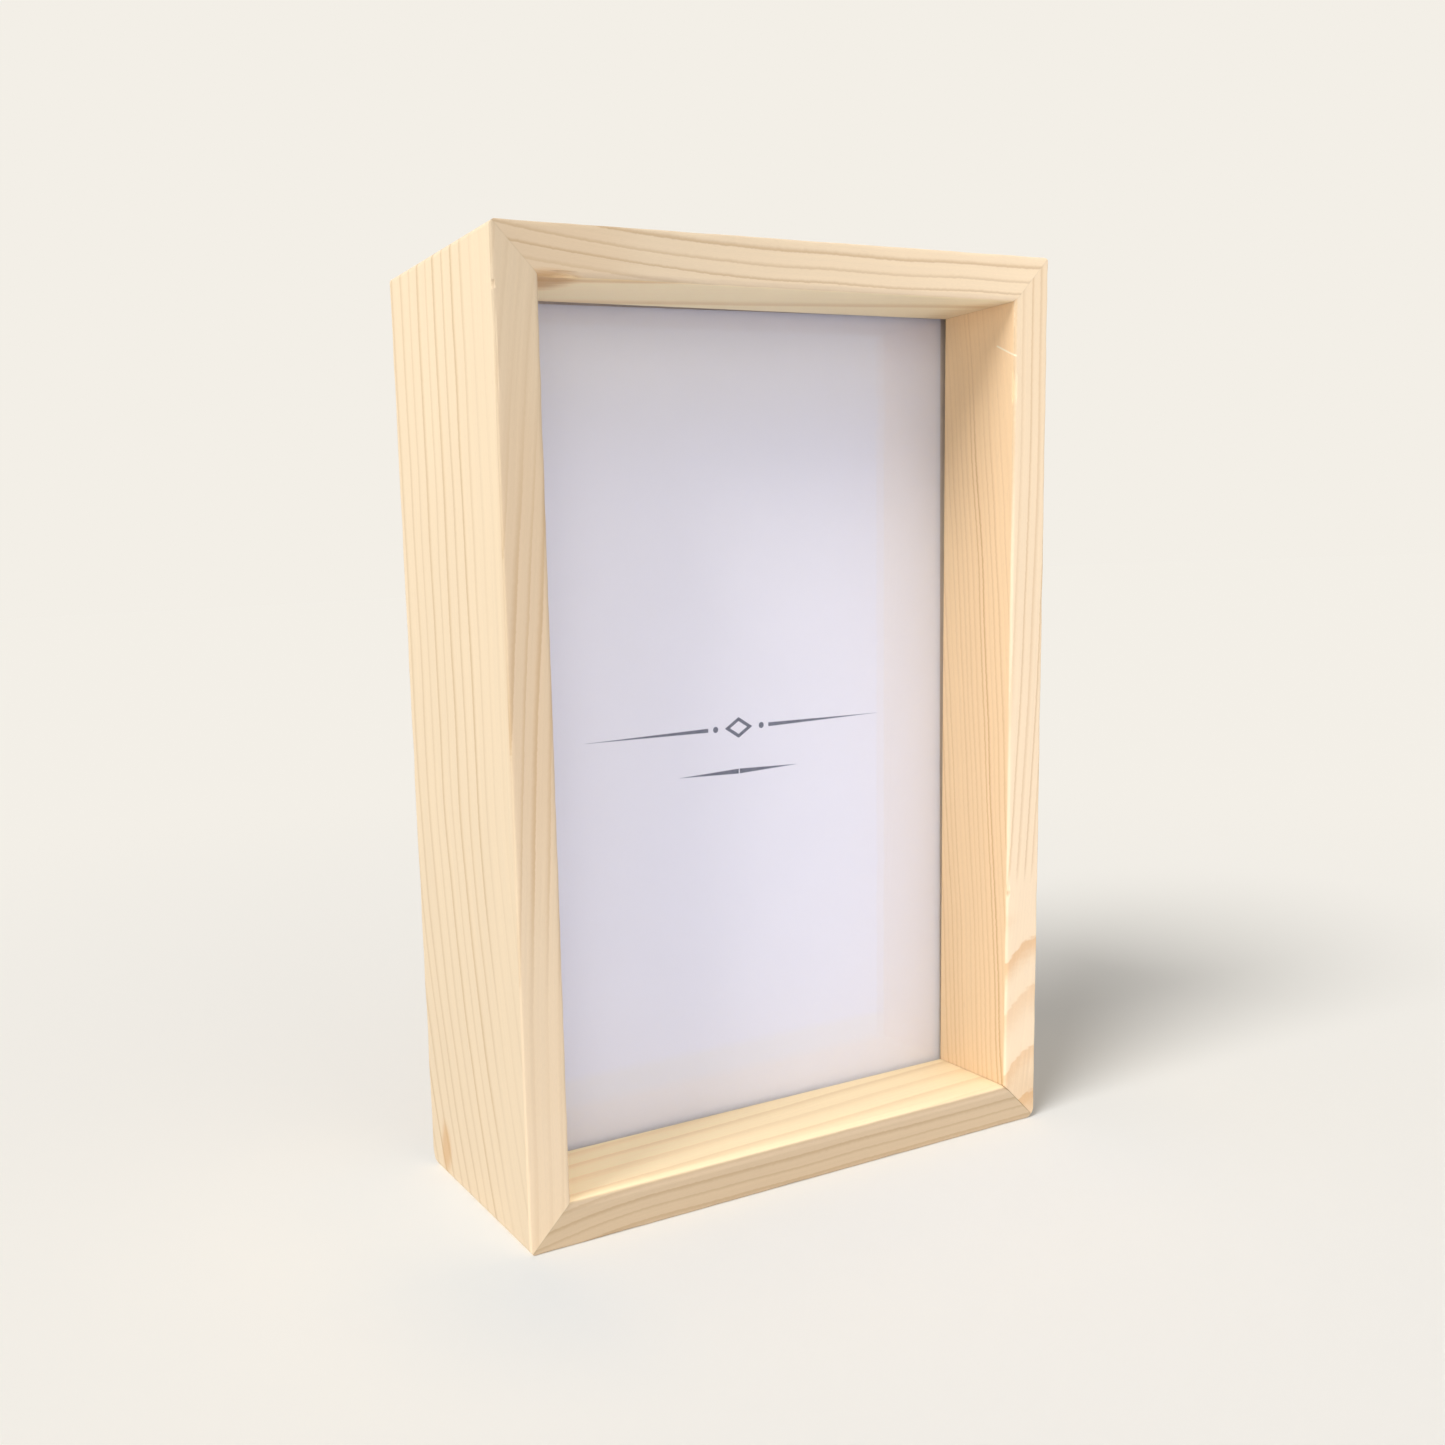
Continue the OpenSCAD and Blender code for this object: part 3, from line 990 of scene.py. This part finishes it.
def printedPaper():
    sheet = printedSheet
    material, tree, shader = newMaterial("printed_paper")
    x, y, z = point = objectPoint(tree)
    low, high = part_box("print_sheet")
    up = z - (low.z + high.z) / 2 / mm
    wide = x.size()
    blur, tip = sheet["ruleBlur"], sheet["ruleTip"]

    def rule(height, half, room):
        thick = sheet["ruleT"] * (1.0 - wide / half)
        line = ((up - height).size() - thick).fade(blur, -blur)
        return line * wide.fade(room, room + tip) * wide.fade(half, half - tip)

    ink = rule(0.0, sheet["ruleHalf"], sheet["lozengeRoom"])
    ink = ink.atLeast(rule(sheet["lowerRule"], sheet["lowerHalf"], 0.0))
    lozenge = wide / sheet["lozenge"][0] + up.size() / sheet["lozenge"][1]
    ink = ink.atLeast(lozenge.fade(*sheet["lozengeOut"]) * lozenge.fade(*sheet["lozengeIn"]))
    for place in sheet["dots"]:
        far = ((x - place) * (x - place) + up * up).root()
        edge = far.fade(sheet["dotR"] + sheet["dotBlur"], sheet["dotR"] - sheet["dotBlur"])
        ink = ink.atLeast(edge)

    pulp = finishNoise(tree, sheet["pulp"], point)
    cloud = finishNoise(tree, sheet["cloud"], point)
    shade = 1.0 + pulp * sheet["pulpShade"] + cloud * sheet["cloudShade"]
    colour = blendColour(tree, 1.0, sheet["sheet"], grey(tree, shade), "MULTIPLY")
    ink = ink * (sheet["inkShow"] + pulp * sheet["inkPulp"])
    colour = blendColour(tree, ink, colour, sheet["ink"])
    tree.links.new(colour, shader.inputs["Base Color"])
    shader.inputs["Roughness"].default_value = sheet["roughness"]
    shader.inputs["Specular IOR Level"].default_value = sheet["specular"]
    bump(tree, shader, pulp, *sheet["bump"])
    return material


pressedBoard = {
    "pale": srgb(182, 148, 112),
    "brown": srgb(146, 112, 80),
    "bark": srgb(112, 82, 56),
    "faced": srgb(236, 212, 190),   # the side to the print, which shows only in the strip beside the lips, paler to set the depth of painted shade there
    "facedFrom": (-0.8, -1.0),      # millimetres of depth
    "fleck": ((3.5, 3.5, 3.5), 5.0, 0.7),
    "drift": ((0.15, 1.0, 0.15), 1.0, 0.5),
    "driftReach": 9.0,
    "fibre": ((0.7, 4.0, 4.0), 2.0, 0.6),
    "fibreTurns": (15, 75, 130),    # degrees, the ways in which the fibres lie
    "cloud": ((0.05, 0.05, 0.05), 2.0, 0.5),
    "mottle": {"fleck": 0.5, "fibre": 0.35, "cloud": 0.5, "middle": 0.5},
    "mottleFade": (0.1, 0.9),
    "chip": ((0.8, 5.0, 1.4), 2.0, 0.5),
    "chipFade": (0.2, 0.3),
    "chipShow": 0.35,
    "roughness": 0.62,
    "fleckRough": 0.2,
    "specular": 0.3,
    "relief": {"fleck": 0.6, "fibre": 0.4},
    "bump": (0.2, 0.05 * mm),
}


def fibreboard():
    look = pressedBoard
    material, tree, shader = newMaterial("fibreboard")
    x, y, z = point = objectPoint(tree)
    fleck = finishNoise(tree, look["fleck"], point)
    drift = finishNoise(tree, look["drift"], point) * look["driftReach"]
    fibre = 0.0
    for turn in look["fibreTurns"]:
        cos, sin = math.cos(math.radians(turn)), math.sin(math.radians(turn))
        run = x * cos + z * sin
        across = z * cos - x * sin + drift
        fibre = fibre + finishNoise(tree, look["fibre"], (run, y, across), turn)
    cloud = finishNoise(tree, look["cloud"], point)
    part = look["mottle"]
    mottle = fleck * part["fleck"] + fibre * part["fibre"] + cloud * part["cloud"] + part["middle"]
    colour = blendColour(tree, mottle.fade(*look["mottleFade"]), look["brown"], look["pale"])
    chip = finishNoise(tree, look["chip"], point).fade(*look["chipFade"])
    colour = blendColour(tree, chip * look["chipShow"], colour, look["bark"])
    colour = blendColour(tree, y.fade(*look["facedFrom"]), colour, look["faced"])
    tree.links.new(colour, shader.inputs["Base Color"])
    plug(tree, look["roughness"] + fleck * look["fleckRough"], shader.inputs["Roughness"])
    shader.inputs["Specular IOR Level"].default_value = look["specular"]
    part = look["relief"]
    bump(tree, shader, fleck * part["fleck"] + fibre * part["fibre"], *look["bump"])
    return material


# pressed steel and folded brass, with their sharp edges tumbled off
hardware = {
    "ease": 0.12 * mm,
    "steps": 2,
    "sharp": 40,          # degrees
    "flat": 2,            # degrees, under which triangles are joined
    "merge": 0.001 * mm,
    "spangle": ((1.2, 1.2, 1.2), 3.0, 0.6),
    "scratch": ((0.5, 6.0, 6.0), 2.0, 0.5),
    "shade": 0.1,
    "spangleRough": 0.12,
    "scratchRough": 0.08,
    "bump": (0.15, 0.02 * mm),
}


def tumbledCopy(node, name):
    piece = bpy.data.objects.new(name, nodes[node].data.copy())
    bpy.context.scene.collection.objects.link(piece)
    work(piece)
    bpy.ops.mesh.customdata_custom_splitnormals_clear()
    edit(piece)
    bpy.ops.mesh.select_all(action="SELECT")
    bpy.ops.mesh.remove_doubles(threshold=hardware["merge"])
    bpy.ops.mesh.dissolve_limited(angle_limit=math.radians(hardware["flat"]))
    leave()
    ease = piece.modifiers.new("ease", "BEVEL")
    ease.width = hardware["ease"]
    ease.segments = hardware["steps"]
    ease.limit_method = "ANGLE"
    ease.angle_limit = math.radians(hardware["sharp"])
    applyModifier(piece, ease)
    bpy.ops.object.shade_smooth_by_angle(angle=math.radians(hardware["sharp"]))
    return piece


def plated(name, colour, roughness):
    material, tree, shader = newMaterial(name)
    point = objectPoint(tree)
    spangle = finishNoise(tree, hardware["spangle"], point)
    scratch = finishNoise(tree, hardware["scratch"], point)
    shade = 1.0 + spangle * hardware["shade"] + scratch * hardware["shade"]
    colour = blendColour(tree, 1.0, colour, grey(tree, shade), "MULTIPLY")
    tree.links.new(colour, shader.inputs["Base Color"])
    shader.inputs["Metallic"].default_value = 1.0
    rough = roughness + spangle * hardware["spangleRough"] + scratch * hardware["scratchRough"]
    plug(tree, rough, shader.inputs["Roughness"])
    bump(tree, shader, scratch, *hardware["bump"])
    return material


zincSteel = plated("zinc_steel", srgb(196, 198, 202), 0.3)
plainBrass = plated("plain_brass", srgb(214, 186, 124), 0.24)

rideFor(makeGlass(), "glass_pane", clearGlass())
rideFor(makePrint(), "print_sheet", printedPaper())
dress("backing_board", fibreboard())
for node in list(nodes):
    if node.endswith("turn_clip"):
        piece = tumbledCopy(node, node.replace("turn_clip", "pressed_clip"))
        rideFor(piece, node, zincSteel)
    elif node.endswith("hanger_strap"):
        piece = tumbledCopy(node, node.replace("hanger_strap", "folded_strap"))
        rideFor(piece, node, plainBrass)
    elif node in ("clip_rivets", "corner_brads"):
        dress(node, zincSteel)
    elif "hanger" in node:
        dress(node, plainBrass)
print("glass, print, back and hardware dressed")


# floor, light and background

studio = {
    "background": srgb(243, 239, 231),
    "floorSide": 12.0,
    "floorFoot": srgb(223, 225, 225),    # painted shade next to the frame, against the warm light that the frame throws on the floor
    "footReach": (45, 0),                # millimetres from the frame
    "footRear": (40, 5),                 # none of it behind the frame
    "footSide": (-40, -60),              # less of it to the right of here
    "footLess": 0.5,
    # painted shade: the floor is darker near the frame than far off
    "floorNear": srgb(237, 234, 228),
    "floorFar": srgb(243, 239, 231),
    "floorBlend": (60, 450),             # millimetres from the middle
    "floorGiven": srgb(253, 251, 248),   # the floor as it lights the frame
    "floorGlow": 0.12,                   # in place of the fill lamps, which pass the floor by
    "ambient": 0.32,
}

# soft lamps, far away: where each shines from, how strong and how wide in degrees, and what
# it lights; only the key is mirrored in the glass, and only one shadow falls on the floor
lamps = {
    "key": {"from": (-0.79, -0.18, 0.58), "strength": 1.9, "angle": 24, "lights": "frame"},
    "overhead": {"from": (0.05, -0.40, 0.91), "strength": 1.25, "angle": 46, "lights": "frame"},
    "low": {"from": (-0.45, -0.88, 0.12), "strength": 0.7, "angle": 40, "lights": "frame"},
    "floorKey": {"from": (-0.65, -0.21, 0.73), "strength": 2.42, "angle": 25, "lights": "floor"},
}


def makeFloor():
    bpy.ops.object.select_all(action="DESELECT")
    bpy.ops.mesh.primitive_plane_add(size=studio["floorSide"], location=(0, 0, cadLow.z))
    floor = bpy.context.object
    floor.name = "floor"
    material, tree, _ = newMaterial("floor")
    matt = tree.nodes.new("ShaderNodeBsdfDiffuse")
    glow = tree.nodes.new("ShaderNodeEmission")
    glow.inputs["Color"].default_value = studio["background"]
    glow.inputs["Strength"].default_value = studio["floorGlow"]
    both = tree.nodes.new("ShaderNodeAddShader")
    tree.links.new(matt.outputs[0], both.inputs[0])
    tree.links.new(glow.outputs[0], both.inputs[1])
    tree.links.new(both.outputs[0], tree.nodes["Material Output"].inputs["Surface"])
    rays = tree.nodes.new("ShaderNodeLightPath")
    given = Field(tree, rays.outputs["Is Diffuse Ray"])
    x, y, _ = objectPoint(tree)
    far = (x * x + y * y).root().fade(*studio["floorBlend"])
    # painted shade around the frame, darker still beside its foot, less to the right and none
    # behind
    seen = blendColour(tree, far, studio["floorNear"], studio["floorFar"])
    offX = (x.size() - frameW / mm / 2).atLeast(0.0)
    offY = (y.size() - frameD / mm / 2).atLeast(0.0)
    foot = (offX * offX + offY * offY).root().fade(*studio["footReach"])
    less = studio["footLess"]
    side = 1.0 - less + less * x.fade(*studio["footSide"])
    foot = foot * y.fade(*studio["footRear"]) * side
    seen = blendColour(tree, foot, seen, studio["floorFoot"])
    colour = blendColour(tree, given, seen, studio["floorGiven"])
    tree.links.new(colour, matt.inputs["Color"])
    floor.data.materials.append(material)
    return floor


# a sky coloured card that leans in front of the frame, for the sheen on the glass alone
skyCard = {
    "foot": (85 * mm, -45 * mm, 1 * mm),
    "head": (85 * mm, -200 * mm, 190 * mm),
    "width": 330 * mm,
    "light": (0.69, 0.72, 1.0, 1.0),
    "strength": 1.3,
    "softTop": (185, 130),      # millimetres of height
    "softSide": (165, 120),     # millimetres from the middle
}


def makeSkyCard():
    foot, head = Vector(skyCard["foot"]), Vector(skyCard["head"])
    up = head - foot
    bpy.ops.object.select_all(action="DESELECT")
    bpy.ops.mesh.primitive_plane_add(
        size=1, location=(foot + head) / 2, rotation=(math.atan2(up.z, up.y), 0, 0)
    )
    card = bpy.context.object
    card.name = "sky_card"
    card.scale = (skyCard["width"], up.length, 1)
    bpy.ops.object.transform_apply(location=True, rotation=True, scale=True)
    material, tree, _ = newMaterial("sky_card")
    x, _, z = objectPoint(tree)
    shown = z.fade(*skyCard["softTop"]) * (x - foot.x / mm).size().fade(*skyCard["softSide"])
    glow = tree.nodes.new("ShaderNodeEmission")
    glow.inputs["Color"].default_value = skyCard["light"]
    glow.inputs["Strength"].default_value = skyCard["strength"]
    clear = tree.nodes.new("ShaderNodeBsdfTransparent")
    mix = tree.nodes.new("ShaderNodeMixShader")
    plug(tree, shown, mix.inputs[0])
    tree.links.new(clear.outputs[0], mix.inputs[1])
    tree.links.new(glow.outputs[0], mix.inputs[2])
    tree.links.new(mix.outputs[0], tree.nodes["Material Output"].inputs["Surface"])
    card.data.materials.append(material)
    card.visible_camera = False
    card.visible_diffuse = False
    card.visible_shadow = False


def makeLamps(floor):
    lit = {}
    for kind, state in (("frame", "EXCLUDE"), ("floor", "INCLUDE")):   # the floor's part in it
        lit[kind] = bpy.data.collections.new("lit_" + kind)
        lit[kind].objects.link(floor)
        lit[kind].collection_objects[0].light_linking.link_state = state
    for name, lamp in lamps.items():
        data = bpy.data.lights.new(name, "SUN")
        data.energy = lamp["strength"]
        data.angle = math.radians(lamp["angle"])
        light = bpy.data.objects.new(name, data)
        light.rotation_mode = "QUATERNION"
        light.rotation_quaternion = Vector(lamp["from"]).to_track_quat("Z", "Y")
        light.visible_glossy = name == "key"
        light.visible_transmission = name == "key"
        light.light_linking.receiver_collection = lit[lamp["lights"]]
        bpy.context.scene.collection.objects.link(light)


def makeWorld():
    world = bpy.data.worlds.new("studio")
    world.use_nodes = True
    tree = world.node_tree
    plain = tree.nodes["Background"]
    plain.inputs["Color"].default_value = (1, 1, 1, 1)
    plain.inputs["Strength"].default_value = studio["ambient"]
    seen = tree.nodes.new("ShaderNodeBackground")
    seen.inputs["Color"].default_value = studio["background"]
    rays = tree.nodes.new("ShaderNodeLightPath")
    direct = Field(tree, rays.outputs["Is Camera Ray"])
    direct = direct.atLeast(Field(tree, rays.outputs["Is Glossy Ray"]))
    direct = direct.atLeast(Field(tree, rays.outputs["Is Transmission Ray"]))
    mix = tree.nodes.new("ShaderNodeMixShader")
    plug(tree, direct, mix.inputs[0])
    tree.links.new(plain.outputs[0], mix.inputs[1])
    tree.links.new(seen.outputs[0], mix.inputs[2])
    tree.links.new(mix.outputs[0], tree.nodes["World Output"].inputs["Surface"])
    bpy.context.scene.world = world


makeSkyCard()
makeLamps(makeFloor())
makeWorld()
bpy.context.scene.view_settings.view_transform = "Standard"
print("studio set")
